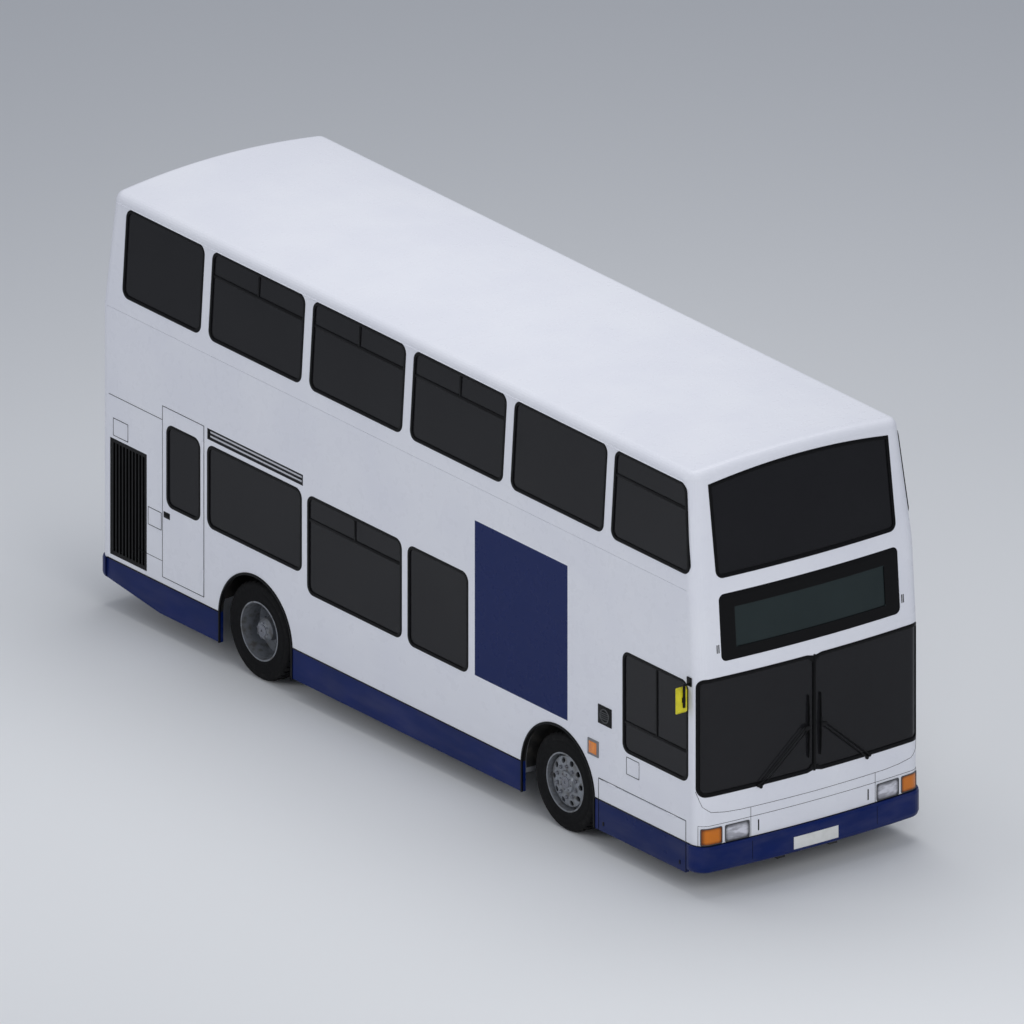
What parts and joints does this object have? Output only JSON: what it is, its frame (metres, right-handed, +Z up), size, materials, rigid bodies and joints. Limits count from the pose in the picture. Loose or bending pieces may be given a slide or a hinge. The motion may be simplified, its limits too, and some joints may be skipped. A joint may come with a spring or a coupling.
{
  "type": "double decker bus",
  "caption": "Two-deck, rear-engined, right-hand-drive city bus in white over blue, with a hollow seated body, opening doors and lids, steered front wheels and twin rear wheels.",
  "frame": {"origin": "on the ground, on the body's centre plane, midway between the two bumpers", "axes": "+Z up; the front faces -Y; +X is the nearside, with the entrance; -X is the offside, with the driver"},
  "size_m": [2.71, 9.35, 4.19],
  "materials": {
    "white_paint": "gloss",
    "blue_paint": "gloss",
    "chassis_paint": "satin",
    "cast_iron": "rough",
    "exhaust_steel": "matt",
    "floor_covering": "matt",
    "tinted_glass": "tinted",
    "black_plastic": "matt",
    "seat_fabric": "moquette",
    "grey_laminate": "satin",
    "grey_plastic": "satin",
    "yellow_rail": "gloss",
    "lamp_lens": "clear gloss",
    "wheel_steel": "satin",
    "tyre": "matt",
    "door_aluminium": "gloss"
  },
  "bodies": {
    "bus_body": {"chassis_frame": "chassis_paint", "tow_jaws": "chassis_paint", "engine_block": "cast_iron", "underfloor_tanks": "chassis_paint", "exhaust": "exhaust_steel", "front_axle": "chassis_paint", "rear_axle": "chassis_paint", "lower_floor": "floor_covering", "wheel_houses": "floor_covering", "upper_floor": "floor_covering", "staircase": "floor_covering", "lower_sides": "white_paint", "upper_sides": "white_paint", "skirts": "blue_paint", "roof": "white_paint", "front_lower_panel": "white_paint", "front_upper_panel": "white_paint", "rear_panel": "white_paint", "bumpers": "blue_paint", "windscreens": "tinted_glass", "side_glass": "tinted_glass", "destination_box": "black_plastic", "dashboard": "black_plastic", "driver_seat": "seat_fabric", "cab_partition": "grey_laminate", "seat_frames": "grey_plastic", "seat_cushions": "seat_fabric", "handrails": "yellow_rail", "wipers": "black_plastic", "side_mirror": "black_plastic", "lamps": "lamp_lens", "side_grilles": "black_plastic"},
    "steering_knuckle_offside": {"steering_knuckle_offside": "cast_iron"},
    "front_wheel_offside": {"front_rim_offside": "wheel_steel", "front_tyre_offside": "tyre"},
    "rear_wheels_offside": {"rear_rims_offside": "wheel_steel", "rear_tyres_offside": "tyre"},
    "steering_knuckle_nearside": {"steering_knuckle_nearside": "cast_iron"},
    "front_wheel_nearside": {"front_rim_nearside": "wheel_steel", "front_tyre_nearside": "tyre"},
    "rear_wheels_nearside": {"rear_rims_nearside": "wheel_steel", "rear_tyres_nearside": "tyre"},
    "steering_wheel": {"steering_wheel": "black_plastic"},
    "entrance_leaf_front": {"entrance_leaf_front": "door_aluminium"},
    "entrance_leaf_rear": {"entrance_leaf_rear": "door_aluminium"},
    "emergency_door": {"emergency_door": "white_paint"},
    "engine_cover": {"engine_cover": "white_paint"},
    "locker_flap": {"locker_flap": "white_paint"},
    "filler_flap": {"filler_flap": "white_paint"},
    "coolant_flap": {"coolant_flap": "white_paint"},
    "battery_flap": {"battery_flap": "white_paint"}
  },
  "joints": [
    {"name": "steer_offside", "type": "hinge", "parent": "bus_body", "child": "steering_knuckle_offside", "pos_m": [-0.915, -2.455, 0.479], "axis": [0, 0, 1], "range_deg": [-35, 35]},
    {"name": "steer_nearside", "type": "hinge", "parent": "bus_body", "child": "steering_knuckle_nearside", "pos_m": [0.915, -2.455, 0.479], "axis": [0, 0, 1], "range_deg": [-35, 35]},
    {"name": "steering_wheel_turn", "type": "hinge", "parent": "bus_body", "child": "steering_wheel", "pos_m": [-0.86, -4.085, 1.235], "axis": [0, 0.4226, 0.9063], "range_deg": [-630, 630]},
    {"name": "front_wheel_spin_offside", "type": "hinge", "parent": "steering_knuckle_offside", "child": "front_wheel_offside", "pos_m": [-1.0975, -2.455, 0.479], "axis": [1, 0, 0], "continuous": true},
    {"name": "front_wheel_spin_nearside", "type": "hinge", "parent": "steering_knuckle_nearside", "child": "front_wheel_nearside", "pos_m": [1.0975, -2.455, 0.479], "axis": [1, 0, 0], "continuous": true},
    {"name": "rear_wheels_spin_offside", "type": "hinge", "parent": "bus_body", "child": "rear_wheels_offside", "pos_m": [-0.9375, 2.247, 0.479], "axis": [1, 0, 0], "continuous": true},
    {"name": "rear_wheels_spin_nearside", "type": "hinge", "parent": "bus_body", "child": "rear_wheels_nearside", "pos_m": [0.9375, 2.247, 0.479], "axis": [1, 0, 0], "continuous": true},
    {"name": "entrance_leaf_front_swing", "type": "hinge", "parent": "bus_body", "child": "entrance_leaf_front", "pos_m": [1.22, -4.367, 1.3], "axis": [0, 0, 1], "range_deg": [0, 88]},
    {"name": "entrance_leaf_rear_swing", "type": "hinge", "parent": "bus_body", "child": "entrance_leaf_rear", "pos_m": [1.22, -3.166, 1.3], "axis": [0, 0, -1], "range_deg": [0, 88]},
    {"name": "emergency_door_swing", "type": "hinge", "parent": "bus_body", "child": "emergency_door", "pos_m": [-1.281, 3.045, 1.4], "axis": [0, 0, 1], "range_deg": [0, 95]},
    {"name": "engine_cover_lift", "type": "hinge", "parent": "bus_body", "child": "engine_cover", "pos_m": [0, 4.66, 1.56], "axis": [1, 0, 0], "range_deg": [0, 70]},
    {"name": "locker_flap_lift", "type": "hinge", "parent": "bus_body", "child": "locker_flap", "pos_m": [-1.281, -3.7, 0.71], "axis": [0, 1, 0], "range_deg": [0, 85]},
    {"name": "filler_flap_swing", "type": "hinge", "parent": "bus_body", "child": "filler_flap", "pos_m": [-1.279, -3.648, 0.98], "axis": [0, 0, 1], "range_deg": [0, 90]},
    {"name": "coolant_flap_swing", "type": "hinge", "parent": "bus_body", "child": "coolant_flap", "pos_m": [-1.279, 4.213, 1.83], "axis": [0, 0, 1], "range_deg": [0, 90]},
    {"name": "battery_flap_swing", "type": "hinge", "parent": "bus_body", "child": "battery_flap", "pos_m": [-1.279, 3.699, 1.12], "axis": [0, 0, 1], "range_deg": [0, 90]}
  ],
  "couplings": [
    {"joint": "steer_nearside", "follows": "steer_offside", "ratio": 1},
    {"joint": "steering_wheel_turn", "follows": "steer_offside", "ratio": 18}
  ]
}
